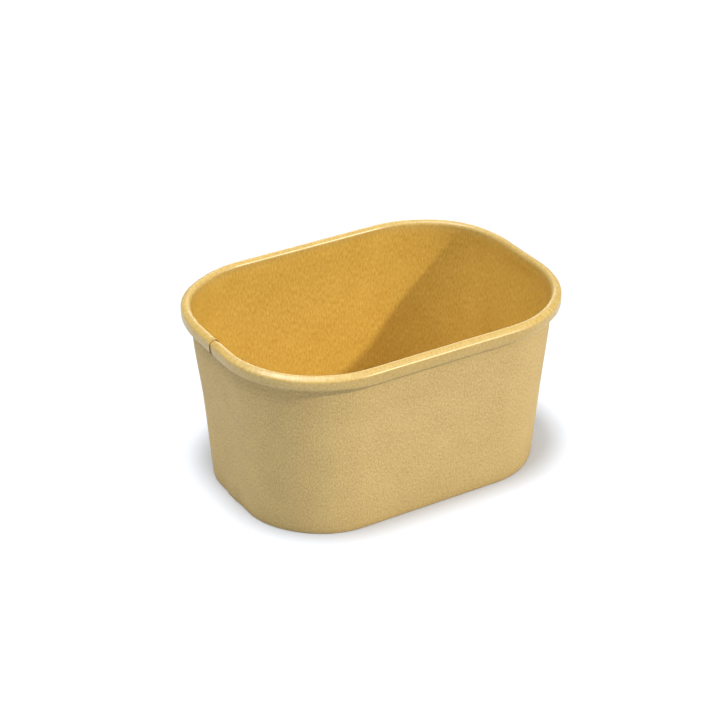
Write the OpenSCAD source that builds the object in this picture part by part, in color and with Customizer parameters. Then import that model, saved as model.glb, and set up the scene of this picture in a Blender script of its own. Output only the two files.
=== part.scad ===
// Deep rectangular paperboard tray with rounded corners, a rolled rim and a recessed bottom.
// The sidewall is one sheet: it is wrapped round with an overlapped seam at the left end,
// rolled outwards at the top and folded inwards and up at the foot.
// The bottom is a second sheet: a flat panel whose edge turns down into the fold at the foot.
// Origin at the middle of the footprint on the table, +X along the length, +Z up, seam at -X.

/* [Rim] */
// Overall length over the rolled rim
rim_length = 168; // [150:1:190]
// Overall width over the rolled rim
rim_width = 123; // [116:1:140]
// Corner radius of the rim, seen from above, to its outer face
rim_corner = 48; // [42:1:50]
// Width of the rolled rim, from the inside of the wall to the rim's outer face
roll_width = 4.3; // [3.8:0.1:5]
// Height of the rolled rim, from its crown to its lower edge
roll_height = 7.2; // [6.5:0.1:9]
// Radius of the turn at the top of the wall; the rest of the width is the radius of the outer turn
crown_turn = 1.9; // [1.5:0.1:2.2]
// Radius of the turn at the roll's lower edge
tuck_turn = 1.6; // [1.2:0.1:1.7]
// Length of board that runs up inside the roll, behind its outer face
roll_tail = 1.2; // [0.5:0.1:2]

/* [Wall] */
// Height from the table to the crown of the rim
height = 86; // [60:1:110]
// Angle by which the wall leans outwards, in degrees
wall_lean = 5.2; // [3:0.1:7]
// Thickness of the board of the sidewall
wall_board = 0.4; // [0.3:0.05:0.5]

/* [Foot] */
// Height of the folded-in edge of the sidewall, above the turn at the foot
hem_height = 6; // [4:0.5:9]
// Depth by which the turn at the foot is pressed flat where it stands
foot_press = 0.05; // [0.02:0.01:0.1]

/* [Bottom panel] */
// Rise from the hem's height to the bend of the panel
hem_clear = 1.4; // [1.2:0.1:4]
// Thickness of the board of the bottom panel
floor_board = 0.4; // [0.3:0.05:0.5]
// Outer radius of the bend between the panel and its turned-down skirt
skirt_bend = 1; // [0.8:0.1:1.5]
// Glue line between the skirt and each face of the fold that holds it
glue_gap = 0.02; // [0.01:0.01:0.05]

/* [Seam] */
// Width of the strip where the two ends of the sidewall lie over each other
seam_overlap = 7; // [5:0.5:8]
// Place of the inner end's cut edge across the left end, from the middle
seam_offset = -1.5; // [-3:0.5:3]
// Width of the line that the inner cut edge leaves on the face that shows
seam_line = 0.25; // [0.15:0.05:0.4]

/* [Hidden] */
// Steps of a full circle in the section and in the plan
arc_steps = 64;
corner_steps = 128;
// Length and angle by which shapes of one sheet run into each other, so that they join
overlap = 0.5;
lap_angle = 60;

// Plan: the wall and the rim turn about the same four corner centres at every height
corner_x = rim_length / 2 - rim_corner;
corner_y = rim_width / 2 - rim_corner;

// Section of the rim: x runs outwards from a corner centre, y is the height above the table
crown_x = rim_corner - roll_width + crown_turn;
crown_centre = [crown_x, height - crown_turn];
shoulder_turn = roll_width - crown_turn;
shoulder_centre = [crown_x, height - shoulder_turn];
tuck_centre = [rim_corner - tuck_turn, height - roll_height + tuck_turn];
tail_x = rim_corner - 2 * tuck_turn;

// Section of the wall, in a frame at the crown's centre that leans with the wall:
// x is the distance outwards from that centre and y runs up the wall
inner_face = -crown_turn;
slot_width = floor_board + 2 * glue_gap;
hem_face = inner_face - slot_width - wall_board;
foot_turn = wall_board + slot_width / 2;
foot_x = inner_face - slot_width / 2;
foot_y = (foot_turn - foot_press - crown_centre[1] + foot_x * sin(wall_lean)) / cos(wall_lean);

// Seam: the line is cut, and the outer end is rooted, half a board deep
seam_depth = wall_board / 2;
flap_root = wall_board / 2;

// Bottom panel: the bend's centre stands where the skirt lies a glue line inside the wall
floor_height = hem_height + hem_clear + skirt_bend;
floor_underside = floor_height - floor_board;
bend_y = floor_height - skirt_bend;
bend_drop = crown_centre[1] - bend_y;
skirt_face = inner_face - glue_gap;
bend_x = crown_x + (skirt_face - skirt_bend) / cos(wall_lean) - bend_drop * tan(wall_lean);
bend_along = (bend_x - crown_x) * sin(wall_lean) - bend_drop * cos(wall_lean);
skirt_length = bend_along - foot_y - glue_gap;

// Height up the leaning wall of the point of its inner face at height z
function up_wall(z) = (z - crown_centre[1] + inner_face * sin(wall_lean)) / cos(wall_lean);

// Band of thickness t inside radius r, between two angles; skin adds to it outside the radius
module arc_band(centre, r, t, from, to, skin = 0) {
    steps = 4;
    step = (to - from) / steps;
    reach = 2 * (r + skin);
    translate(centre) intersection() {
        difference() {
            circle(r = r + skin, $fn = arc_steps);
            circle(r = r - t, $fn = arc_steps);
        }
        polygon(concat([[0, 0]], [for (i = [0:steps]) reach * [cos(from + i * step), sin(from + i * step)]]));
    }
}

// Straight strip that stands between two heights
module strip(x, thickness, from, to) {
    translate([x, from]) square([thickness, to - from]);
}

// Frame of the wall's section
module leaning() {
    translate(crown_centre) rotate(-wall_lean) children();
}

// The sheet's layer of thickness t below the face that shows, up the wall from a height
// and over the roll to its lowest point; skin adds to it outside that face
module showing_layer(t, from, skin = 0) {
    leaning() {
        strip(inner_face - skin, t + skin, from, 0);
        arc_band([0, 0], crown_turn, t, 180 - lap_angle, 180, skin);
    }
    arc_band(crown_centre, crown_turn, t, 90, 90 + lap_angle, skin);
    arc_band(shoulder_centre, shoulder_turn, t, 0, 90, skin);
    strip(rim_corner - t, t + skin, tuck_centre[1], shoulder_centre[1]);
    arc_band(tuck_centre, tuck_turn, t, -90, 0, skin);
}

// Whole sidewall sheet: wall, roll with its tail, turn at the foot and hem
module sheet_section() {
    intersection() {
        union() {
            showing_layer(wall_board, foot_y);
            arc_band(tuck_centre, tuck_turn, wall_board, -180, lap_angle - 90);
            strip(tail_x, wall_board, tuck_centre[1], tuck_centre[1] + roll_tail);
            leaning() {
                arc_band([foot_x, foot_y], foot_turn, wall_board, 180, 360);
                strip(hem_face, wall_board, foot_y, foot_y + hem_height);
            }
        }
        square([rim_corner + overlap, height + overlap]);
    }
}

// Outer end of the sheet, on the outside of the wall past the inner end's edge, rooted in the wall
module flap_section() {
    leaning() strip(inner_face + wall_board - flap_root, wall_board + flap_root, foot_y, 0);
}

// Line on the inner face and over the roll, where the inner end of the sheet stops
module seam_line_section() {
    showing_layer(seam_depth, up_wall(floor_height), overlap);
}

// Bottom panel: the flat, the bend and the skirt
module panel_section() {
    strip(0, bend_x - overlap, floor_underside, floor_height);
    translate([bend_x, bend_y]) {
        strip(-2 * overlap, 2 * overlap, skirt_bend - floor_board, skirt_bend);
        arc_band([0, 0], skirt_bend, floor_board, 90 - lap_angle, 90);
        rotate(-wall_lean) {
            arc_band([0, 0], skirt_bend, floor_board, 0, lap_angle);
            strip(skirt_bend - floor_board, floor_board, -skirt_length, 0);
        }
    }
}

// Stands a section upright and carries it straight along Y over a length
module straight_run(length) {
    rotate([90, 0, 0]) linear_extrude(height = length, center = true) children();
}

// Carries a section round the rounded rectangle of the plan
module round_plan() {
    for (quarter = [0:3]) {
        x_sign = (quarter == 0 || quarter == 3) ? 1 : -1;
        y_sign = quarter < 2 ? 1 : -1;
        translate([x_sign * corner_x, y_sign * corner_y, 0])
            rotate([0, 0, 90 * quarter]) rotate_extrude(angle = 90, $fn = corner_steps) children();
    }
    for (end = [0, 180]) {
        rotate([0, 0, end]) translate([corner_x, 0, 0]) straight_run(2 * corner_y) children();
        rotate([0, 0, end + 90]) translate([corner_y, 0, 0]) straight_run(2 * corner_x) children();
    }
}

// Puts a short straight run of a section on the left end, centred at the distance y across it
module on_left_end(y, length) {
    translate([0, y, 0]) mirror([1, 0, 0]) translate([corner_x, 0, 0]) straight_run(length) children();
}

module sidewall() {
    color([0.82, 0.69, 0.45])
    difference() {
        union() {
            round_plan() sheet_section();
            on_left_end(seam_offset + seam_overlap / 2, seam_overlap) flap_section();
        }
        on_left_end(seam_offset, seam_line) seam_line_section();
    }
}

module bottom_panel() {
    color([0.78, 0.60, 0.32]) {
        round_plan() panel_section();
        translate([-corner_x, -corner_y, floor_underside])
            cube([2 * corner_x, 2 * corner_y, floor_board]);
    }
}

sidewall();
bottom_panel();
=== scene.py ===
"""Looks of a deep rectangular kraft paperboard tray with a rolled rim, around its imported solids."""

import logging
from dataclasses import dataclass, fields
from enum import Enum
from math import ceil, cos, hypot, pi, radians, sin
from typing import Any, ClassVar, Sequence, Union

import bpy
from mathutils import Matrix, Vector

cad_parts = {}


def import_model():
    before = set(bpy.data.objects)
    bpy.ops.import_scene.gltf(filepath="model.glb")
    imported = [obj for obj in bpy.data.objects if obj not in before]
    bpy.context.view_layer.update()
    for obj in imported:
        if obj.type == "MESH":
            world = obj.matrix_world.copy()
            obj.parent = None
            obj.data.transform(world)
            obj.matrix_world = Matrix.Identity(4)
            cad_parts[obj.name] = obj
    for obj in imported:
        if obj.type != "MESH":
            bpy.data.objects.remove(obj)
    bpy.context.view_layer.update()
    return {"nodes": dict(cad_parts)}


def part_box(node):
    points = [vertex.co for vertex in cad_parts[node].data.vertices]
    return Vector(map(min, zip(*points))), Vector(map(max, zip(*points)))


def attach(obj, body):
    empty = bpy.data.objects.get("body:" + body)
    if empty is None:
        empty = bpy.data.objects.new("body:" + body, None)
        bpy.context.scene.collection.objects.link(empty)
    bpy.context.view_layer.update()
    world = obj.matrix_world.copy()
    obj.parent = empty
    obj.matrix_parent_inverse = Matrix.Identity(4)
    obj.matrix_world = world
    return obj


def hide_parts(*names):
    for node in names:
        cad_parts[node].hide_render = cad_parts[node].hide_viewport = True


LOG = logging.getLogger("tray")
MM = 0.001
QUARTER = pi / 2
NOISE_MEAN = 0.5
Colour = tuple[float, float, float]
Band = tuple[float, float]


def tint(red: int, green: int, blue: int) -> Colour:
    """Turns a colour as it shows on a screen into the linear one that Blender's sockets take.

    Args:
        red: Red, from 0 to 255.
        green: Green, from 0 to 255.
        blue: Blue, from 0 to 255.

    Returns:
        The linear red, green and blue, from 0 to 1.
    """
    shares = (red / 255, green / 255, blue / 255)
    return tuple(c / 12.92 if c <= 0.04045 else ((c + 0.055) / 1.055) ** 2.4 for c in shares)


def smooth(value: float, start: float, end: float) -> float:
    """Rises smoothly from 0 at start to 1 at end.

    Args:
        value: The place to measure.
        start: Where the rise begins.
        end: Where it ends, which may be below start.

    Returns:
        The height of the rise at value, from 0 to 1.
    """
    share = min(max((value - start) / (end - start), 0), 1)
    return share * share * (3 - 2 * share)


class SheetData(Enum):
    """Names of what a sheet's mesh carries for its tree and its finishes."""

    LENGTHS = "sheet"
    CENTRE = "centre"
    OUTWARD = "outward"
    AROUND = "around"
    CORNER = "corner"
    LAYER = "layer"
    SQUAT = "squat"
    OUT = "out"
    UP = "up"
    ACROSS = "across"
    BACK_OUT = "back_out"
    BACK_UP = "back_up"
    ROLL = "roll"
    SKIN = "skin"
    LOWER = "lower"
    HEM = "hem"
    TOP = "top"
    LOW = "low"
    BOW = "bow"
    PRESS = "press"
    LIFT = "lift"
    CREST = "crest"
    FLARE = "flare"
    HIGH = "high"
    RACK = "rack"
    UPPER = "upper"
    # Where the roll's painted shade, a darker copy of the board's colours, is mixed in
    ROLLED = "rolled"
    STRAIN = "strain"


class Wire:
    """An output of a node, which works as a value in Python expressions."""

    def __init__(self, bench: "NodeBench", socket: bpy.types.NodeSocket) -> None:
        """Keeps the socket and the bench that makes the nodes after it.

        Args:
            bench: The maker of nodes in the socket's tree.
            socket: The output socket.
        """
        self.bench = bench
        self.socket = socket

    @property
    def is_vector(self) -> bool:
        """Whether the socket carries three numbers."""
        return self.socket.type in {"VECTOR", "RGBA"}

    def _join(self, operation: str, first: "Term", second: "Term") -> "Wire":
        """Adds the maths node that joins two terms.

        Args:
            operation: The node's operation.
            first: The left term.
            second: The right term.

        Returns:
            The node's result.
        """
        terms = (first, second)
        if any(isinstance(t, tuple) or (isinstance(t, Wire) and t.is_vector) for t in terms):
            spread = {i: (t, t, t) if isinstance(t, (int, float)) else t for i, t in enumerate(terms)}
            return self.bench.node("ShaderNodeVectorMath", {"operation": operation}, spread)
        return self.bench.node("ShaderNodeMath", {"operation": operation}, dict(enumerate(terms)))

    def __add__(self, other: "Term") -> "Wire":
        """Sum."""
        return self._join("ADD", self, other)

    def __radd__(self, other: "Term") -> "Wire":
        """Sum, with the wire on the right."""
        return self._join("ADD", other, self)

    def __sub__(self, other: "Term") -> "Wire":
        """Difference."""
        return self._join("SUBTRACT", self, other)

    def __rsub__(self, other: "Term") -> "Wire":
        """Difference, with the wire on the right."""
        return self._join("SUBTRACT", other, self)

    def __mul__(self, other: "Term") -> "Wire":
        """Product."""
        return self._join("MULTIPLY", self, other)

    def __rmul__(self, other: "Term") -> "Wire":
        """Product, with the wire on the right."""
        return self._join("MULTIPLY", other, self)

    def __truediv__(self, other: "Term") -> "Wire":
        """Quotient."""
        return self._join("DIVIDE", self, other)

    def __rtruediv__(self, other: "Term") -> "Wire":
        """Quotient, with the wire on the right."""
        return self._join("DIVIDE", other, self)

    def limited(self, low: float = 0.0, high: float = 1.0) -> "Wire":
        """Keeps the value between two bounds."""
        return self.bench.node("ShaderNodeClamp", {}, {"Value": self, "Min": low, "Max": high})

    def ramp(self, start: float, end: float) -> "Wire":
        """Rises smoothly from 0 at start to 1 at end."""
        values = {"Value": self, "From Min": start, "From Max": end}
        return self.bench.node("ShaderNodeMapRange", {"interpolation_type": "SMOOTHSTEP"}, values)


Term = Union[Wire, float, tuple]


class NodeBench:
    """Makes the nodes of one tree."""

    def __init__(self, tree: bpy.types.NodeTree) -> None:
        """Keeps the tree.

        Args:
            tree: The shader or geometry tree.
        """
        self.tree = tree

    def node(
        self,
        kind: str,
        settings: dict[str, Any] | None = None,
        values: dict[Union[int, str], Any] | None = None,
        output: Union[int, str] = 0,
    ) -> Wire:
        """Adds a node, with its settings first and then the values or links of its sockets.

        Args:
            kind: The node's type.
            settings: The node's own properties, such as a Math node's operation.
            values: A value or a wire for each socket, by the socket's number, identifier or name.
            output: The output to give back.

        Returns:
            The output as a wire, which isn't usable if the node has no outputs.
        """
        made = self.tree.nodes.new(kind)
        for name, value in (settings or {}).items():
            setattr(made, name, value)
        for key, value in (values or {}).items():
            socket = self._pick(made.inputs, key)
            if isinstance(value, Wire):
                self.tree.links.new(value.socket, socket)
            else:
                socket.default_value = value
        return Wire(self, self._pick(made.outputs, output) if made.outputs else None)

    @staticmethod
    def _pick(sockets: Any, key: Union[int, str]) -> bpy.types.NodeSocket:
        """Finds a socket by its number, its identifier, or the name of one that is in use.

        Args:
            sockets: A node's inputs or outputs.
            key: The number, identifier or name.

        Returns:
            The socket.
        """
        if isinstance(key, int):
            return sockets[key]
        by_identifier = [s for s in sockets if s.identifier == key and s.enabled]
        by_name = [s for s in sockets if s.name == key and s.enabled]
        return (by_identifier + by_name)[0]

    def noise(self, place: Term, detail: float = 2.0, roughness: float = 0.5, seed: float = 0.0) -> Wire:
        """Adds a noise pattern that is about one unit of its place across.

        Args:
            place: The vector that the pattern follows.
            detail: How many finer layers it has.
            roughness: How strong the finer layers are.
            seed: A number that picks one pattern of many.

        Returns:
            The noise, around its mean.
        """
        values = {"Vector": place, "W": seed, "Scale": 1.0, "Detail": detail, "Roughness": roughness}
        return self.node("ShaderNodeTexNoise", {"noise_dimensions": "4D"}, values, "Fac")

    def mark(self, key: SheetData) -> Wire:
        """Reads a number that the mesh's points carry for its finish."""
        return self.node("ShaderNodeAttribute", {"attribute_name": key.value}, output="Fac")

    def blend(self, factor: Term, first: Any, second: Any) -> Wire:
        """Mixes two colours.

        Args:
            factor: The second colour's share.
            first: A colour or a wire.
            second: A colour or a wire.

        Returns:
            The mixed colour.
        """
        colours = [(*c, 1.0) if isinstance(c, tuple) else c for c in (first, second)]
        values = {"Factor_Float": factor, "A_Color": colours[0], "B_Color": colours[1]}
        return self.node("ShaderNodeMix", {"data_type": "RGBA"}, values, "Result_Color")


@dataclass(frozen=True)
class Finish:
    """What one kind of surface looks like."""

    name: str

    def _surface(self, bench: NodeBench) -> dict[str, Any]:
        """Makes the surface's patterns.

        Args:
            bench: The maker of the material's nodes.

        Returns:
            A value or a wire for each socket of the shader that the finish sets.
        """
        raise NotImplementedError

    def material(self) -> bpy.types.Material:
        """Builds the finish.

        Returns:
            The material.
        """
        made = bpy.data.materials.new(self.name)
        made.use_nodes = True
        made.node_tree.nodes.clear()
        bench = NodeBench(made.node_tree)
        skin = bench.node("ShaderNodeBsdfPrincipled", {}, self._surface(bench))
        bench.node("ShaderNodeOutputMaterial", {}, {"Surface": skin})
        return made


@dataclass(frozen=True)
class PaperFinish(Finish):
    """A face of the board: colours, gloss, fibres and flecks, with a darker copy of its colours painted on
    the roll as shade.
    """

    pale: Colour
    deep: Colour
    fleck: Colour
    # Painted shade: a darker copy of the face's colours for the roll, standing in for how the light falls
    # on it
    rolled_pale: Colour
    rolled_deep: Colour
    strained: Colour
    roughness: float
    coat: float
    coat_roughness: float
    fibre_along: float
    relief: float
    contrast: float
    fibre_across: float = 0.8 * MM
    cloud: float = 14 * MM
    grain: float = 0.45 * MM
    fibre_share: float = 0.57
    cloud_share: float = 0.12
    grain_share: float = 0.31
    fleck_across: float = 0.7 * MM
    fleck_along: float = 1.5 * MM
    fleck_range: Band = (0.70, 0.80)
    fleck_strength: float = 0.55
    strain_grain: float = 1.6 * MM
    strain_range: Band = (0.40, 0.75)
    strain_strength: float = 0.6
    fibre_roughness: float = 0.16
    cloud_roughness: float = 0.10
    fibre_relief: float = 0.6
    grain_relief: float = 0.4

    def _surface(self, bench: NodeBench) -> dict[str, Any]:
        """Makes the fibres, the flecks and the strained patches, which follow the sheet's own lengths, and
        paints shade on the roll by mixing in a darker copy of the colours.

        Args:
            bench: The maker of the material's nodes.

        Returns:
            A value or a wire for each socket of the shader that the finish sets.
        """
        place = bench.node("ShaderNodeUVMap", {"uv_map": SheetData.LENGTHS.value})
        fibre_scale = (1 / self.fibre_across, 1 / self.fibre_along, 0.0)
        fibres = bench.noise(place * fibre_scale, detail=3.0, roughness=0.6, seed=1.0)
        clouds = bench.noise(place * (1 / self.cloud), detail=3.0, roughness=0.55, seed=2.0)
        grain = bench.noise(place * (1 / self.grain), detail=2.0, roughness=0.7, seed=3.0)
        mottle = self.fibre_share * fibres + self.cloud_share * clouds + self.grain_share * grain
        depth = ((mottle - NOISE_MEAN) * self.contrast + NOISE_MEAN).limited()
        flat_face = bench.blend(depth, self.deep, self.pale)
        # Painted shade: the roll gets the darker copy of the colours, mixed in by the sheet's mark for it
        shaded_roll_face = bench.blend(depth, self.rolled_deep, self.rolled_pale)
        colour = bench.blend(bench.mark(SheetData.ROLLED).limited(), flat_face, shaded_roll_face)
        fleck_scale = (1 / self.fleck_across, 1 / self.fleck_along, 0.0)
        flecks = bench.noise(place * fleck_scale, detail=1.0, roughness=0.4, seed=4.0)
        colour = bench.blend(self.fleck_strength * flecks.ramp(*self.fleck_range), colour, self.fleck)
        patches = bench.noise(place * (1 / self.strain_grain), detail=3.0, roughness=0.6, seed=5.0)
        strain = self.strain_strength * bench.mark(SheetData.STRAIN) * patches.ramp(*self.strain_range)
        uneven = self.fibre_roughness * (fibres - NOISE_MEAN) + self.cloud_roughness * (clouds - NOISE_MEAN)
        relief = fibres * self.fibre_relief + grain * self.grain_relief
        bump = {"Strength": 1.0, "Distance": self.relief, "Height": relief}
        return {
            "Base Color": bench.blend(strain.limited(), colour, self.strained),
            "Roughness": (self.roughness + uneven).limited(),
            "Coat Weight": self.coat,
            "Coat Roughness": self.coat_roughness,
            "Normal": bench.node("ShaderNodeBump", {}, bump),
        }


@dataclass(frozen=True)
class CutEdgeFinish(Finish):
    """The raw edge of the board, where the pulp's layers show as short dark and pale streaks."""

    name: str = "cut_edge"
    pale: Colour = tint(196, 160, 102)
    deep: Colour = tint(140, 103, 58)
    streak_range: Band = (0.3, 0.7)
    layer: float = 0.12 * MM
    relief: float = 0.03 * MM
    roughness: float = 0.85

    def _surface(self, bench: NodeBench) -> dict[str, Any]:
        """Makes the streaks.

        Args:
            bench: The maker of the material's nodes.

        Returns:
            A value or a wire for each socket of the shader that the finish sets.
        """
        place = bench.node("ShaderNodeTexCoord", {}, {}, "Object")
        streaks = bench.noise(place * (1 / self.layer), detail=2.0, roughness=0.6, seed=6.0)
        return {
            "Base Color": bench.blend(streaks.ramp(*self.streak_range), self.deep, self.pale),
            "Roughness": self.roughness,
            "Normal": bench.node("ShaderNodeBump", {}, {"Distance": self.relief, "Height": streaks}),
        }


@dataclass(frozen=True)
class GroundFinish(Finish):
    """The matt white ground of the studio, with a faint unevenness."""

    name: str = "white_ground"
    colour: Colour = (0.78, 0.82, 0.89)
    grain: float = 0.4
    roughness: float = 0.9
    uneven: float = 0.1

    def _surface(self, bench: NodeBench) -> dict[str, Any]:
        """Makes the unevenness.

        Args:
            bench: The maker of the material's nodes.

        Returns:
            A value or a wire for each socket of the shader that the finish sets.
        """
        place = bench.node("ShaderNodeTexCoord", {}, {}, "Object")
        spots = bench.noise(place * (1 / self.grain), detail=1.0)
        return {
            "Base Color": (*self.colour, 1.0),
            "Roughness": (self.roughness + self.uneven * (spots - NOISE_MEAN)).limited(),
            "Specular IOR Level": 0.0,
        }


KRAFT_FACE = PaperFinish(
    name="kraft_face",
    pale=tint(202, 177, 118),
    deep=tint(161, 133, 79),
    fleck=tint(120, 94, 56),
    # Painted shade on the roll: darker than the flat kraft colours
    rolled_pale=tint(192, 171, 119),
    rolled_deep=tint(152, 128, 80),
    strained=tint(188, 167, 116),
    roughness=0.78,
    coat=0.0,
    coat_roughness=0.4,
    fibre_along=1.2 * MM,
    relief=0.05 * MM,
    contrast=3.8,
)
COATED_FACE = PaperFinish(
    name="coated_face",
    pale=tint(207, 174, 87),
    deep=tint(173, 135, 49),
    fleck=tint(150, 106, 40),
    # Painted shade on the roll: darker than the flat coated colours
    rolled_pale=tint(185, 158, 88),
    rolled_deep=tint(156, 128, 63),
    strained=tint(196, 176, 120),
    roughness=0.5,
    coat=0.4,
    coat_roughness=0.22,
    fibre_along=2.2 * MM,
    relief=0.03 * MM,
    contrast=4.0,
)


@dataclass(frozen=True)
class BoardFinishes:
    """The three finishes that a sheet of board shows."""

    coated: bpy.types.Material
    kraft: bpy.types.Material
    edge: bpy.types.Material

    def fill_slots(self, piece: Any) -> None:
        """Adds the finishes to a piece's slots: the face that shows, the back and the cut edges."""
        for material in (self.coated, self.kraft, self.edge):
            piece.data.materials.append(material)


@dataclass(frozen=True)
class PlanStop:
    """A stop on the way round the tray, seen from above."""

    FAR_CORNERS: ClassVar[Band] = (38, 142)
    SIDE_BOW: ClassVar[float] = 0.45
    FULL_SQUAT: ClassVar[float] = 0.45
    MEAN_PRESS: ClassVar[float] = 0.62
    NEAR_PRESS: ClassVar[float] = 0.38

    centre: Vector
    outward: Vector
    angle: float
    around: float
    corner: float

    def _towards(self, angle: float, spread: float) -> float:
        """How nearly the stop faces an angle or its opposite, from 0 at the spread to 1."""
        off = (self.angle - radians(angle) + QUARTER) % pi - QUARTER
        return smooth(abs(off), radians(spread), 0)

    @property
    def bow(self) -> float:
        """How far the foot bows outwards here, most on the ends."""
        return self._towards(angle=0, spread=48) + self.SIDE_BOW * self._towards(angle=90, spread=40)

    @property
    def rack(self) -> float:
        """How far the rim is pushed out here, at the two far corners."""
        pushed = sum(self._towards(angle, spread=30) for angle in self.FAR_CORNERS)
        return pushed if sin(self.angle) > 0 else 0.0

    @property
    def squat(self) -> float:
        """How much less tall the roll is here, on the ends and their corners."""
        return smooth(abs(cos(self.angle)), 0.0, self.FULL_SQUAT)

    @property
    def press(self) -> float:
        """How hard the roll's outer side is pressed down here, most on the near side."""
        return self.MEAN_PRESS - self.NEAR_PRESS * sin(self.angle)

    @property
    def flare(self) -> float:
        """How far the wall flares below the roll here, on the ends."""
        return cos(self.angle) ** 2


@dataclass(frozen=True)
class Plan:
    """The rounded rectangle of the tray: the wall turns about the same centres at every height."""

    corner_x: float
    corner_y: float
    path_radius: float
    corner_fullness: float = 0.6

    def _legs(self, start_y: float, end_y: float, step: float, end_step: float) -> list[tuple]:
        """Lists the straight runs and the turns of the way round.

        Args:
            start_y: Where the way starts on the left end.
            end_y: Where it ends there.
            step: The greatest distance between stops.
            end_step: The same on the left end.

        Returns:
            For each, its first and last centre, its first and last angle, and its step.
        """
        x, y = self.corner_x, self.corner_y
        place, pace, angle = (-x, start_y), end_step, 180
        legs = []
        for corner in ((-x, -y), (x, -y), (x, y), (-x, y)):
            legs.append((place, corner, angle, angle, pace))
            legs.append((corner, corner, angle, angle + 90, step))
            place, pace, angle = corner, step, angle + 90
        return legs + [(place, (-x, end_y), angle, angle, end_step)]

    def walk(self, start_y: float, end_y: float, step: float, end_step: float) -> list[PlanStop]:
        """Goes once round the tray, against the clock, from the left end and back to it.

        Args:
            start_y: Where the walk starts on the left end.
            end_y: Where it ends there.
            step: The greatest distance between stops on the path's radius.
            end_step: The same on the left end, where the seam is.

        Returns:
            The stops, in order.
        """
        stops: list[PlanStop] = []
        around = 0.0
        for start, end, from_angle, to_angle, pace in self._legs(start_y, end_y, step, end_step):
            turn = radians(to_angle - from_angle)
            length = hypot(end[0] - start[0], end[1] - start[1]) + turn * self.path_radius
            count = ceil(length / pace)
            for i in range(1 if stops else 0, count + 1):
                share = i / count
                angle = radians(from_angle) + turn * share
                centre = Vector((*start, 0)).lerp(Vector((*end, 0)), share)
                corner = sin(pi * share) ** self.corner_fullness if turn and 0 < i < count else 0.0
                outward = Vector((cos(angle), sin(angle), 0))
                stops.append(PlanStop(centre, outward, angle, around + length * share, corner))
            around += length
        return stops


@dataclass
class SectionPoint:
    """A point of the face that shows, in the tray's section."""

    out: float
    up: float
    back_out: float
    back_up: float
    across: float


class SectionPen:
    """Draws the face that shows in the section, run by run and bend by bend."""

    def __init__(self, out: float, up: float, heading: float, back: float) -> None:
        """Starts at a point.

        Args:
            out: Distance outwards from the corner centre.
            up: Height.
            heading: Direction in degrees, with 0 outwards and 90 up.
            back: On which side of the heading the board's back lies, as 90 or -90.
        """
        self.out = out
        self.up = up
        self.heading = radians(heading)
        self.back = radians(back)
        self.across = 0.0
        self.points = [self._point()]

    def _point(self) -> SectionPoint:
        """The point that the pen is at."""
        side = self.heading + self.back
        return SectionPoint(self.out, self.up, cos(side), sin(side), self.across)

    def run(self, length: float, count: int) -> "SectionPen":
        """Draws a straight run.

        Args:
            length: Its length.
            count: How many parts it has.

        Returns:
            The pen.
        """
        for _ in range(count):
            self.out += length / count * cos(self.heading)
            self.up += length / count * sin(self.heading)
            self.across += length / count
            self.points.append(self._point())
        return self

    def bend(self, radius: float, angle: float, count: int) -> "SectionPen":
        """Draws an arc.

        Args:
            radius: Its radius on the face that shows.
            angle: How far it turns, in degrees, with the left as positive.
            count: How many parts it has.

        Returns:
            The pen.
        """
        part = radians(angle) / count
        chord = 2 * radius * sin(abs(part) / 2)
        for _ in range(count):
            self.heading += part / 2
            self.out += chord * cos(self.heading)
            self.up += chord * sin(self.heading)
            self.heading += part / 2
            self.across += radius * abs(part)
            self.points.append(self._point())
        return self


@dataclass(frozen=True)
class TrayShape:
    """The sizes that both sheets share, with the tray's own extent from the frame."""

    half_length: float
    half_width: float
    height: float
    rim_corner: float = 48 * MM
    wall_lean: float = 5.2
    board: float = 0.4 * MM
    glue_gap: float = 0.02 * MM
    roll_width: float = 4.3 * MM
    crown_turn: float = 1.9 * MM
    floor_height: float = 8.4 * MM
    skirt_bend: float = 1.0 * MM
    bow_depth: float = 1.3 * MM
    bow_height: float = 50 * MM

    def low(self, height: float) -> float:
        """The foot's share of its bow at a height."""
        return smooth(height, self.bow_height, 0)

    @property
    def plan(self) -> Plan:
        """The tray seen from above."""
        radius = self.rim_corner
        return Plan(self.half_length - radius, self.half_width - radius, radius)

    @property
    def crown_out(self) -> float:
        """How far out from the corner centres the rim is at its highest."""
        return self.rim_corner - self.roll_width + self.crown_turn

    @property
    def slot(self) -> float:
        """Width of the fold at the foot, which holds the bottom panel's skirt."""
        return self.board + 2 * self.glue_gap

    def wall_out(self, height: float) -> float:
        """How far out the wall's inner face is.

        Args:
            height: The height to measure at.

        Returns:
            The distance from the corner centres.
        """
        lean = radians(self.wall_lean)
        drop = self.height - self.crown_turn - height
        return self.crown_out - self.crown_turn / cos(lean) - drop * sin(lean) / cos(lean)


def add_object(name: str, data: Any) -> Any:
    """Puts an object of some data in the scene.

    Args:
        name: The object's name.
        data: Its mesh, light or camera.

    Returns:
        The object, at the origin.
    """
    made = bpy.data.objects.new(name, data)
    bpy.context.scene.collection.objects.link(made)
    return made


def mesh_object(name: str, points: Sequence[Vector], edges: Sequence = (), faces: Sequence = ()) -> Any:
    """Makes a mesh object at the origin.

    Args:
        name: The object's name.
        points: The vertices, in metres.
        edges: Pairs of vertices.
        faces: Loops of vertices.

    Returns:
        The object, which is in the scene.
    """
    mesh = bpy.data.meshes.new(name)
    mesh.from_pydata([tuple(p) for p in points], list(edges), list(faces))
    return add_object(name, mesh)


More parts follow.
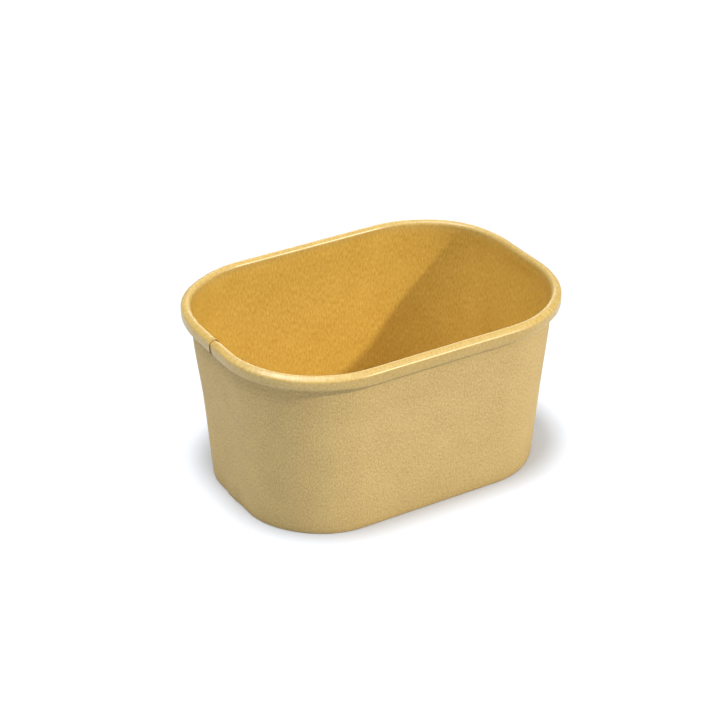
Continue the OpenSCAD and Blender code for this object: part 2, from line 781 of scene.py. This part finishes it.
def guide_line(name: str, points: Sequence[Vector], marks: Sequence[dict[SheetData, Any]]) -> Any:
    """Makes an open line of edges whose points carry values.

    Args:
        name: The object's name.
        points: The line's points, in metres.
        marks: For each point, a number or a vector by its name.

    Returns:
        The object, which is hidden and is removed once it has been used.
    """
    made = mesh_object(name, points, [(i, i + 1) for i in range(len(points) - 1)])
    for key, sample in marks[0].items():
        values = [mark[key] for mark in marks]
        is_vector = isinstance(sample, Vector)
        kind, slot = ("FLOAT_VECTOR", "vector") if is_vector else ("FLOAT", "value")
        data = made.data.attributes.new(key.value, kind, "POINT").data
        data.foreach_set(slot, [c for v in values for c in v] if is_vector else values)
    made.hide_render = True
    return made


def settle(piece: Any, body: str, node: str) -> None:
    """Gives a finished piece its place in the frame.

    Args:
        piece: The piece's object.
        body: The body that it rides on.
        node: The solid that it stands for.
    """
    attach(piece, body)
    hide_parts(node)
    LOG.info("%s: %d faces", piece.name, len(piece.data.polygons))


def baked(source: Any, name: str) -> Any:
    """Turns an object with modifiers into a plain mesh object, and removes the source.

    Args:
        source: The object with live modifiers.
        name: The new object's name.

    Returns:
        The plain object, at the origin.
    """
    graph = bpy.context.evaluated_depsgraph_get()
    mesh = bpy.data.meshes.new_from_object(source.evaluated_get(graph))
    bpy.data.objects.remove(source)
    mesh.name = name
    return add_object(name, mesh)


@dataclass(frozen=True)
class BoardWork:
    """How far the board departs from its drawn section; each field is an input of the sheet's tree."""

    layer_rise: float
    bow_depth: float
    crease_start: float
    squat_height: float = 0.8 * MM
    press_depth: float = 1.0 * MM
    flare_depth: float = 0.6 * MM
    rack_depth: float = 0.9 * MM
    lift_height: float = 0.18 * MM
    crease_height: float = 0.25 * MM
    crease_width: float = 1.0 * MM
    crease_slant: float = 1.556
    ripple_depth: float = 0.22 * MM
    ripple_spacing: float = 3.0 * MM
    wander_depth: float = 0.30 * MM
    wander_spacing: float = 16 * MM
    buckle_depth: float = 0.5 * MM
    buckle_spacing: float = 45 * MM
    crimp_depth: float = 0.5 * MM
    crimp_spacing: float = 2.2 * MM
    seed: float = 3.0


class Swell(Enum):
    """The board's unevennesses: how many times longer each is across the sheet, and its own seed."""

    RIPPLE = (3.0, 0.0)
    WANDER = (1.0, 10.0)
    BUCKLE = (1.2, 20.0)
    CRIMP = (8.0, 30.0)


def label(name: str) -> str:
    """Writes a field's name as the name of a tree's input."""
    return name.replace("_", " ").title()


class SheetTree:
    """Geometry Nodes that carry a sheet's section round its plan and then work the board."""

    NAME = "wrapped_sheet"
    GUIDES = ("Path", "Section")

    def __init__(self) -> None:
        """Builds the tree."""
        self.tree = bpy.data.node_groups.new(self.NAME, "GeometryNodeTree")
        self.bench = NodeBench(self.tree)
        self._sockets()
        self.inputs = self.bench.node("NodeGroupInput").socket.node.outputs
        self._nodes()

    def _sockets(self) -> None:
        """Names what goes into the tree and what comes out."""
        sockets = [("Geometry", "OUTPUT", "Geometry")]
        sockets += [(name, "INPUT", "Object") for name in self.GUIDES]
        sockets += [(label(size.name), "INPUT", "Float") for size in fields(BoardWork)]
        sockets += [("Finish", "INPUT", "Material")]
        for name, way, kind in sockets:
            self.tree.interface.new_socket(name, in_out=way, socket_type=f"NodeSocket{kind}")

    def _input(self, name: str) -> Wire:
        """The group input for a guide, a finish or a field."""
        return Wire(self.bench, self.inputs[label(name)])

    def _mark(self, key: SheetData, kind: str = "FLOAT") -> Wire:
        """Reads a value that the mesh's points carry."""
        settings = {"data_type": kind}
        return self.bench.node("GeometryNodeInputNamedAttribute", settings, {"Name": key.value})

    def _part(self, on_path: SheetData, on_section: SheetData, size: str) -> Wire:
        """A size's share at each point, from what its stop and its section point carry."""
        return self._mark(on_path) * self._mark(on_section) * self._input(size)

    def _combine(self, **parts: Wire) -> Wire:
        """A vector of the parts X, Y and Z, each 0 where it isn't given."""
        return self.bench.node("ShaderNodeCombineXYZ", {}, parts)

    def _store(self, mesh: Wire, key: SheetData, kind: str, domain: str, value: Wire) -> Wire:
        """Keeps a value on the mesh.

        Args:
            mesh: The geometry.
            key: The value's name.
            kind: Its data type.
            domain: Whether points or corners hold it.
            value: The value.

        Returns:
            The geometry with the value.
        """
        settings = {"data_type": kind, "domain": domain}
        values = {"Geometry": mesh, "Name": key.value, "Value": value}
        return self.bench.node("GeometryNodeStoreNamedAttribute", settings, values)

    def _swell(self, kind: Swell) -> Wire:
        """A smooth unevenness of the board, which follows the sheet's own lengths.

        Args:
            kind: Which one, whose depth and spacing round the tray are inputs of the tree.

        Returns:
            The displacement, from minus to plus half its depth.
        """
        stretch, seed = kind.value
        pace = 1.0 / self._input(f"{kind.name}_spacing")
        place = self._combine(
            X=self._mark(SheetData.AROUND) * pace,
            Y=self._mark(SheetData.ACROSS) * pace * (1 / stretch),
            Z=self._input("seed") + seed,
        )
        return (self.bench.noise(place) - NOISE_MEAN) * self._input(f"{kind.name}_depth")

    def _upright(self, out: Wire, up: Wire) -> Wire:
        """A vector in the upright plane of each point's section.

        Args:
            out: Its length outwards.
            up: Its length upwards.

        Returns:
            The vector.
        """
        return self._mark(SheetData.OUTWARD, "FLOAT_VECTOR") * out + self._combine(Z=up)

    def _worked(self) -> Wire:
        """How far each point moves towards the board's back when the board is worked.

        Returns:
            The distance.
        """
        corner, roll = self._mark(SheetData.CORNER), self._mark(SheetData.ROLL)
        lap = self._mark(SheetData.LAYER) * self._input("layer_rise")
        ripple = self._swell(Swell.RIPPLE) * corner * roll
        wander = self._swell(Swell.WANDER) * roll
        buckle = self._swell(Swell.BUCKLE) * self._mark(SheetData.SKIN)
        crimp = (self._swell(Swell.CRIMP) * corner).limited() * self._mark(SheetData.HEM)
        lift = self._part(SheetData.LIFT, SheetData.ROLL, "lift_height")
        return lap + ripple + wander + buckle + crimp - lift - self._crease()

    def _crease(self) -> Wire:
        """The crease that slants away across the roll beside the seam.

        Returns:
            Its height.
        """
        slant = self._mark(SheetData.AROUND) + self._mark(SheetData.ACROSS) * self._input("crease_slant")
        off = (slant - self._input("crease_start")) / self._input("crease_width")
        bell = self.bench.node("ShaderNodeMath", {"operation": "EXPONENT"}, {0: off * off * -1.0})
        return bell * self._mark(SheetData.CREST) * self._input("crease_height")

    def _pushed(self) -> Wire:
        """How far each point is moved up and outwards where the tray isn't true to its drawn section.

        Returns:
            The displacement.
        """
        squat = self._part(SheetData.SQUAT, SheetData.LOWER, "squat_height")
        press = self._part(SheetData.PRESS, SheetData.TOP, "press_depth")
        bow = self._part(SheetData.BOW, SheetData.LOW, "bow_depth")
        flare = self._part(SheetData.FLARE, SheetData.HIGH, "flare_depth")
        rack = self._part(SheetData.RACK, SheetData.UPPER, "rack_depth")
        return self._upright(bow + flare + rack, squat - press)

    def _nodes(self) -> None:
        """Adds the nodes from the two guide lines to the finished surface."""
        bench = self.bench
        lines = []
        for name in self.GUIDES:
            line = bench.node("GeometryNodeObjectInfo", {}, {"Object": self._input(name)}, "Geometry")
            lines.append(bench.node("GeometryNodeMeshToCurve", {}, {0: line}))
        values = {"Curve": lines[0], "Profile Curve": lines[1]}
        mesh = bench.node("GeometryNodeCurveToMesh", {}, values)
        drawn = self._upright(self._mark(SheetData.OUT), self._mark(SheetData.UP))
        back = self._upright(self._mark(SheetData.BACK_OUT), self._mark(SheetData.BACK_UP))
        centre = self._mark(SheetData.CENTRE, "FLOAT_VECTOR")
        place = centre + drawn + back * self._worked() + self._pushed()
        mesh = bench.node("GeometryNodeSetPosition", {}, {"Geometry": mesh, "Position": place})
        lengths = self._combine(X=self._mark(SheetData.AROUND), Y=self._mark(SheetData.ACROSS))
        mesh = self._store(mesh, SheetData.LENGTHS, "FLOAT2", "CORNER", lengths)
        strain = self._mark(SheetData.CORNER) * self._mark(SheetData.ROLL)
        mesh = self._store(mesh, SheetData.STRAIN, "FLOAT", "POINT", strain)
        mesh = bench.node("GeometryNodeRealizeInstances", {}, {"Geometry": mesh})
        values = {"Geometry": mesh, "Material": self._input("finish")}
        mesh = bench.node("GeometryNodeSetMaterial", {}, values)
        bench.node("NodeGroupOutput", {}, {"Geometry": mesh})

    def put_on(self, piece: Any, guides: dict[str, Any], work: BoardWork) -> None:
        """Adds the tree to an object as a modifier.

        Args:
            piece: The object that the surface replaces.
            guides: The two guide lines and the finish, by the names of their inputs.
            work: How the board is worked.
        """
        modifier = piece.modifiers.new(self.NAME, "NODES")
        modifier.node_group = self.tree
        items = self.tree.interface.items_tree
        identifiers = {i.name: i.identifier for i in items if i.in_out == "INPUT"}
        sizes = {label(size.name): getattr(work, size.name) for size in fields(work)}
        for name, value in (guides | sizes).items():
            modifier[identifiers[name]] = value


def add_board(piece: Any, thickness: float, finishes: BoardFinishes) -> None:
    """Gives a surface the board's thickness, with the kraft back and the cut edges on their own slots.

    Args:
        piece: The surface, whose normals point away from the board.
        thickness: The board's thickness.
        finishes: The sheet's finishes, in the order of its slots.
    """
    finishes.fill_slots(piece)
    board = piece.modifiers.new("board", "SOLIDIFY")
    board.thickness = thickness
    board.offset = -1.0
    board.use_even_offset = True
    board.material_offset = 1
    board.material_offset_rim = 2


def dress(piece: Any, finishes: BoardFinishes, sharp: float = 40) -> None:
    """Gives a plain mesh its three finishes and its smooth shading, and drops what the tree left on it.

    Args:
        piece: The object.
        finishes: The sheet's finishes, in the order of its slots.
        sharp: The least angle in degrees between faces that meet in a sharp edge.
    """
    slots = [0] * len(piece.data.polygons)
    piece.data.polygons.foreach_get("material_index", slots)
    piece.data.materials.clear()
    finishes.fill_slots(piece)
    piece.data.polygons.foreach_set("material_index", slots)
    for mark in set(SheetData) - {SheetData.LENGTHS, SheetData.STRAIN, SheetData.ROLLED}:
        attribute = piece.data.attributes.get(mark.value)
        if attribute:
            piece.data.attributes.remove(attribute)
    piece.data.shade_smooth()
    piece.data.set_sharp_from_angle(angle=radians(sharp))


@dataclass
class Sidewall:
    """The wrapped sheet: wall, pressed roll, lapped seam and folded foot."""

    shape: TrayShape
    finishes: BoardFinishes
    crest_drop: float = 0.15 * MM
    inner_turn: float = 2.1 * MM
    inner_swell: float = 0.45 * MM
    top_slope: float = 22
    shoulder_turn: float = 1.2 * MM
    face_inset: float = 0.1 * MM
    roll_height: float = 7.3 * MM
    tuck_turn: float = 1.6 * MM
    roll_tail: float = 1.2 * MM
    hem_height: float = 6 * MM
    foot_press: float = 0.05 * MM
    seam_y: float = -1.5 * MM
    seam_overlap: float = 7 * MM
    joggle: float = 5 * MM
    lift_reach: float = 1.6 * MM
    crease_offset: float = 2.06 * MM
    path_step: float = 1.0 * MM
    seam_step: float = 0.3 * MM
    wall_parts: int = 34
    turn_parts: int = 10
    shoulder_parts: int = 7
    face_parts: int = 4
    tuck_parts: int = 7
    tail_parts: int = 1
    fold_parts: int = 8
    hem_parts: int = 2
    # Stretches over which a mark fades: up the tray first, then across the sheet from the crest
    swell_heights: Band = (62 * MM, 82 * MM)
    flare_heights: Band = (35 * MM, 72 * MM)
    flare_end_heights: Band = (83 * MM, 77 * MM)
    rack_heights: Band = (20 * MM, 70 * MM)
    squat_fade: float = 3 * MM
    press_fade: float = 1 * MM
    uneven_across: Band = (-9 * MM, -3 * MM)
    # Across the sheet, where the roll's painted shade fades in
    rolled_across: Band = (-4.2 * MM, -2.4 * MM)
    crest_across: Band = (-2 * MM, 0.0)
    crest_end_across: Band = (5 * MM, 3 * MM)
    face_across: float = 16 * MM

    @property
    def _crest(self) -> float:
        """Height of the sheet's highest line."""
        return self.shape.height - self.crest_drop

    @property
    def _edge_out(self) -> float:
        """How far out from the corner centres the roll reaches."""
        return self.shape.rim_corner - self.face_inset

    def _draw_section(self) -> list[SectionPoint]:
        """Draws the face that shows, from the top of the hem to the end of the roll.

        Returns:
            The points, with their distance across the sheet from the crest.
        """
        shape = self.shape
        lean, slope = radians(shape.wall_lean), radians(self.top_slope)
        crest = self._crest
        crest_out = shape.wall_out(crest - self.inner_turn) + self.inner_turn / cos(lean)
        reach = self._edge_out - crest_out
        top_turn = (reach - self.shoulder_turn * (1 - sin(slope))) / sin(slope)
        drop = top_turn * (1 - cos(slope)) + self.shoulder_turn * cos(slope)
        roll = SectionPen(crest_out, crest, heading=0, back=-90)
        roll.bend(top_turn, -self.top_slope, self.turn_parts)
        roll.bend(self.shoulder_turn, self.top_slope - 90, self.shoulder_parts)
        roll.run(self.roll_height - drop - self.tuck_turn, self.face_parts)
        roll.bend(self.tuck_turn, -180, self.tuck_parts).run(self.roll_tail, self.tail_parts)

        fold = shape.slot / 2
        wall_top = crest - self.inner_turn * (1 - sin(lean))
        fold_height = shape.board + fold - self.foot_press
        wall = (wall_top + fold * sin(lean) - fold_height) / cos(lean)
        inside = SectionPen(crest_out, crest, heading=180, back=90)
        inside.bend(self.inner_turn, 90 - shape.wall_lean, self.turn_parts)
        inside.run(wall, self.wall_parts)
        inside.bend(fold, -180, self.fold_parts).run(self.hem_height, self.hem_parts)
        for point in inside.points:
            point.across = -point.across
        points = inside.points[:0:-1] + roll.points
        for point in points:
            over = smooth(point.across, reach, 0) if point.across > 0 else 1.0
            point.out -= self.inner_swell * over * smooth(point.up, *self.swell_heights)
        return points

    def _section_line(self) -> Any:
        """Makes the guide line of the section.

        Returns:
            The line, whose points carry what the tree needs.
        """
        points = self._draw_section()
        shape = self.shape
        crown = self._crest - self.inner_turn
        face_foot, face_top = shape.height - self.roll_height + self.tuck_turn, crown + self.press_fade
        fold_end = points[0].across + self.hem_height
        crest_out = next(p.out for p in points if p.across >= 0)
        marks = []
        for p in points:
            on_wall = fold_end < p.across < 0 and p.up < crown
            on_face = 0 < p.across < self.face_across and p.out > crest_out
            pressed = smooth(p.out, crest_out, self._edge_out) * smooth(p.up, face_foot, face_top)
            flared = smooth(p.up, *self.flare_heights) * smooth(p.up, *self.flare_end_heights)
            creased = smooth(p.across, *self.crest_across) * smooth(p.across, *self.crest_end_across)
            mark = {
                SheetData.OUT: p.out,
                SheetData.UP: p.up,
                SheetData.ACROSS: p.across,
                SheetData.BACK_OUT: p.back_out,
                SheetData.BACK_UP: p.back_up,
                SheetData.ROLL: smooth(p.across, *self.uneven_across),
                # Share of the roll's painted shade at each point
                SheetData.ROLLED: smooth(p.across, *self.rolled_across),
                SheetData.SKIN: sin(pi * smooth(p.up, shape.floor_height, crown)) if on_wall else 0.0,
                SheetData.LOWER: smooth(p.up, crown, crown - self.squat_fade) if p.across > 0 else 0.0,
                SheetData.TOP: pressed if on_face else 0.0,
                SheetData.CREST: creased,
                SheetData.LOW: shape.low(p.up),
                SheetData.HIGH: flared if on_wall else 0.0,
                SheetData.UPPER: smooth(p.up, *self.rack_heights),
                SheetData.HEM: float(p.across < fold_end),
            }
            marks.append(mark)
        return guide_line("section_line", [Vector((p.out, p.up, 0)) for p in points], marks)

    def _path_line(self) -> tuple[Any, float]:
        """Makes the guide line round the tray, with the inner end of the sheet laid over the outer one.

        Returns:
            The line, whose points carry what the tree needs, and its length.
        """
        plan = self.shape.plan
        start = self.seam_y + self.seam_overlap
        stops = plan.walk(start, self.seam_y, self.path_step, self.seam_step)
        length = stops[-1].around
        marks = []
        for s in stops:
            lap = smooth(s.centre.y, self.seam_y - self.joggle, self.seam_y)
            mark = {
                SheetData.CENTRE: s.centre,
                SheetData.OUTWARD: s.outward,
                SheetData.AROUND: s.around,
                SheetData.CORNER: s.corner,
                SheetData.LAYER: lap if s.angle <= pi else 0.0,
                SheetData.LIFT: smooth(s.around, length - self.lift_reach, length),
                SheetData.SQUAT: s.squat,
                SheetData.PRESS: s.press,
                SheetData.BOW: s.bow,
                SheetData.FLARE: s.flare,
                SheetData.RACK: s.rack,
            }
            marks.append(mark)
        points = [s.centre + s.outward * plan.path_radius for s in stops]
        return guide_line("path_line", points, marks), length

    def _keep_in_frame(self, piece: Any) -> None:
        """Holds every vertex inside the solids' box.

        Args:
            piece: The sheet's object.
        """
        shape = self.shape
        low = (-shape.half_length, -shape.half_width, 0.0)
        high = (shape.half_length, shape.half_width, shape.height)
        for vertex in piece.data.vertices:
            vertex.co = [min(max(c, a), b) for c, a, b in zip(vertex.co, low, high)]

    def build(self) -> None:
        """Builds the sheet and settles it in the frame."""
        shape = self.shape
        carrier = mesh_object("sheet_carrier", [])
        path, length = self._path_line()
        section = self._section_line()
        work = BoardWork(shape.board + shape.glue_gap, shape.bow_depth, length - self.crease_offset)
        guides = {"Path": path, "Section": section, "Finish": self.finishes.coated}
        SheetTree().put_on(carrier, guides, work)
        add_board(carrier, shape.board, self.finishes)
        piece = baked(carrier, "wrapped_sidewall")
        for guide in (path, section):
            bpy.data.objects.remove(guide)
        self._keep_in_frame(piece)
        dress(piece, self.finishes)
        settle(piece, "root", "sidewall")


@dataclass
class BottomPanel:
    """The second sheet: a raised floor whose edge turns down into the fold at the foot."""

    shape: TrayShape
    finishes: BoardFinishes
    skirt_clear: float = 0.02 * MM
    fold_floor: float = 0.57 * MM
    bend_parts: int = 8
    skirt_parts: int = 4
    path_step: float = 2.0 * MM
    rings: tuple[float, ...] = (0.985, 0.95, 0.88, 0.78, 0.66, 0.53, 0.4, 0.27, 0.14)
    dish: float = 0.15 * MM

    def _section(self) -> list[SectionPoint]:
        """Draws the face that shows, from the flat floor to the skirt's cut edge.

        Returns:
            The points.
        """
        shape = self.shape
        lean = radians(shape.wall_lean)
        bend_height = shape.floor_height - shape.skirt_bend
        reach = (shape.skirt_bend + shape.glue_gap) / cos(lean)
        pen = SectionPen(shape.wall_out(bend_height) - reach, shape.floor_height, heading=0, back=-90)
        pen.bend(shape.skirt_bend, shape.wall_lean - 90 - 2 * shape.wall_lean, self.bend_parts)
        skirt = (pen.up - self.fold_floor - self.skirt_clear) / cos(lean)
        return pen.run(skirt, self.skirt_parts).points

    def _loops(self) -> list[list[Vector]]:
        """Carries the section round the plan, and then closes the flat in ever smaller loops.

        Returns:
            The loops of points, from the skirt's cut edge to the innermost.
        """
        stops = self.shape.plan.walk(0.0, 0.0, self.path_step, self.path_step)[:-1]
        loops: list[list[Vector]] = []
        for point in reversed(self._section()):
            bow = self.shape.bow_depth * self.shape.low(point.up)
            rise = Vector((0, 0, point.up))
            loops.append([s.centre + s.outward * (point.out + bow * s.bow) + rise for s in stops])
        floor_edge = loops[-1]
        for share in self.rings:
            sag = Vector((0, 0, self.dish * (1 - share * share)))
            flat = Vector((share, share, 1))
            loops.append([p * flat - sag for p in floor_edge])
        return loops

    def _surface(self) -> Any:
        """Makes the face that shows.

        Returns:
            The object, which has no thickness yet.
        """
        loops = self._loops()
        points = [p for loop in loops for p in loop]
        count, pole = len(loops[0]), len(points)
        points.append(Vector((0, 0, self.shape.floor_height - self.dish)))
        pairs = [(i, (i + 1) % count) for i in range(count)]
        starts = [k * count for k in range(len(loops))]
        faces = [(a + i, a + j, b + j, b + i) for a, b in zip(starts, starts[1:]) for i, j in pairs]
        faces += [(starts[-1] + i, starts[-1] + j, pole) for i, j in pairs]
        surface = mesh_object("panel_surface", points, faces=faces)
        lengths = surface.data.uv_layers.new(name=SheetData.LENGTHS.value)
        for loop in surface.data.loops:
            place = surface.data.vertices[loop.vertex_index].co
            lengths.data[loop.index].uv = (place.y, place.x)
        # The floor carries no strain and no painted roll shade: both stay 0
        for mark in (SheetData.STRAIN, SheetData.ROLLED):
            surface.data.attributes.new(mark.value, "FLOAT", "POINT")
        return surface

    def build(self) -> None:
        """Builds the sheet and settles it in the frame."""
        surface = self._surface()
        add_board(surface, self.shape.board, self.finishes)
        piece = baked(surface, "raised_floor")
        dress(piece, self.finishes)
        settle(piece, "root", "bottom_panel")


@dataclass(frozen=True)
class Camera:
    """The view that the tray is seen from."""

    azimuth: float = -30.588
    elevation: float = 29.53
    roll: float = -0.356
    distance: float = 978.106 * MM
    aim_height: float = 38 * MM
    slide_right: float = 6.086 * MM
    slide_up: float = -11.364 * MM
    lens: float = 105.706
    sensor: float = 36.0
    clip: Band = (0.01, 50)

    def build(self) -> None:
        """Places the camera and makes it the scene's."""
        a, e, r = (radians(x) for x in (self.azimuth, self.elevation, self.roll))
        back = Vector((sin(a) * cos(e), -cos(a) * cos(e), sin(e)))
        level = Vector((cos(a), sin(a), 0))
        rise = back.cross(level)
        right = level * cos(r) + rise * sin(r)
        up = rise * cos(r) - level * sin(r)
        place = Vector((0, 0, self.aim_height)) + back * self.distance
        place -= right * self.slide_right + up * self.slide_up
        data = bpy.data.cameras.new("camera")
        data.lens = self.lens
        data.sensor_width = self.sensor
        data.clip_start, data.clip_end = self.clip
        made = add_object("camera", data)
        made.matrix_world = Matrix.Translation(place) @ Matrix((right, up, back)).transposed().to_4x4()
        bpy.context.scene.camera = made


@dataclass(frozen=True)
class Light:
    """A light that points at the tray, either for the ground alone or for all but the ground."""

    AIM_HEIGHT: ClassVar[float] = 40 * MM

    name: str
    azimuth: float
    elevation: float
    power: float
    on_ground: bool = False
    colour: Colour = (1.0, 1.0, 1.0)
    distance: float = 1.3

    def _data(self) -> Any:
        """Makes the light's data.

        Returns:
            The data, without its power and colour.
        """
        raise NotImplementedError

    def build(self, ground: Any) -> None:
        """Places the light and links it to what it lights.

        Args:
            ground: The ground.
        """
        data = self._data()
        data.energy = self.power
        data.color = self.colour
        made = add_object(self.name, data)
        a, e = radians(self.azimuth), radians(self.elevation)
        away = Vector((sin(a) * cos(e), -cos(a) * cos(e), sin(e)))
        made.location = away * self.distance + Vector((0, 0, self.AIM_HEIGHT))
        made.rotation_euler = away.to_track_quat("Z", "Y").to_euler()
        flag = bpy.data.collections.new(f"{self.name}_flag")
        flag.objects.link(ground)
        made.light_linking.receiver_collection = flag
        state = "INCLUDE" if self.on_ground else "EXCLUDE"
        flag.collection_objects[0].light_linking.link_state = state


@dataclass(frozen=True, kw_only=True)
class Softbox(Light):
    """A rectangular light at a distance."""

    size: tuple[float, float]

    def _data(self) -> Any:
        """Makes the light's data.

        Returns:
            The data, without its power and colour.
        """
        data = bpy.data.lights.new(self.name, "AREA")
        data.shape = "RECTANGLE"
        data.size, data.size_y = self.size
        return data


@dataclass(frozen=True, kw_only=True)
class Lamp(Light):
    """A light from far away, whose beams are straight or spread; its own distance changes nothing."""

    spread: float

    def _data(self) -> Any:
        """Makes the light's data.

        Returns:
            The data, without its power and colour.
        """
        data = bpy.data.lights.new(self.name, "SUN")
        data.angle = radians(self.spread)
        return data


@dataclass
class Studio:
    """White ground, soft white surroundings and the lights."""

    ground_size: float = 6.0
    sky: float = 0.26
    backdrop: float = 1.0
    lights: tuple[Light, ...] = (
        Lamp("key", 32.6, 33.1, 2.2, spread=3.0, colour=(1.0, 0.89, 0.69)),
        Lamp("ground_wash", -51, 83.6, 1.9, spread=12.0, on_ground=True),
        Lamp("ground_fill", 0, 88, 1.95, spread=150.0, on_ground=True),
        Softbox("overhead", -90, 80, 16.5, size=(1.1, 0.9)),
        Softbox("front_fill", 35, 42, 3.4, size=(0.7, 0.7), distance=1.2),
        Softbox("left_fill", -95, 64, 6.5, size=(0.5, 0.5), distance=1.2),
        Softbox("back_light", 150, 14, 2.5, size=(0.5, 0.3)),
    )

    def _ground(self) -> Any:
        """Makes the ground.

        Returns:
            The ground, which isn't part of the tray.
        """
        half = self.ground_size / 2
        corners = [Vector((x * half, y * half, 0)) for x, y in ((-1, -1), (1, -1), (1, 1), (-1, 1))]
        ground = mesh_object("ground", corners, faces=[(0, 1, 2, 3)])
        ground.data.materials.append(GroundFinish().material())
        return ground

    def _surroundings(self) -> None:
        """Makes the surroundings, which are white to look at and give less light than that."""
        world = bpy.data.worlds.new("surroundings")
        world.use_nodes = True
        world.node_tree.nodes.clear()
        bench = NodeBench(world.node_tree)
        given, shown = (
            bench.node("ShaderNodeBackground", {}, {"Color": (1, 1, 1, 1), "Strength": strength})
            for strength in (self.sky, self.backdrop)
        )
        seen = bench.node("ShaderNodeLightPath", output="Is Camera Ray")
        surface = bench.node("ShaderNodeMixShader", {}, {0: seen, 1: given, 2: shown})
        bench.node("ShaderNodeOutputWorld", {}, {"Surface": surface})
        bpy.context.scene.world = world

    def build(self) -> None:
        """Builds the studio."""
        ground = self._ground()
        self._surroundings()
        for light in self.lights:
            light.build(ground)
        bpy.context.scene.view_settings.view_transform = "Standard"
        LOG.info("studio: ground, surroundings and %d lights", len(self.lights))


def main() -> None:
    """Builds the tray and its studio around the frame."""
    logging.basicConfig(level=logging.INFO, format="%(name)s: %(message)s")
    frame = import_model()
    low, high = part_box("sidewall")
    LOG.info("frame: %d solids", len(frame["nodes"]))
    Camera().build()
    shape = TrayShape((high.x - low.x) / 2, (high.y - low.y) / 2, high.z)
    finishes = BoardFinishes(COATED_FACE.material(), KRAFT_FACE.material(), CutEdgeFinish().material())
    Sidewall(shape, finishes).build()
    BottomPanel(shape, finishes).build()
    Studio().build()


if __name__ == "__main__":
    main()
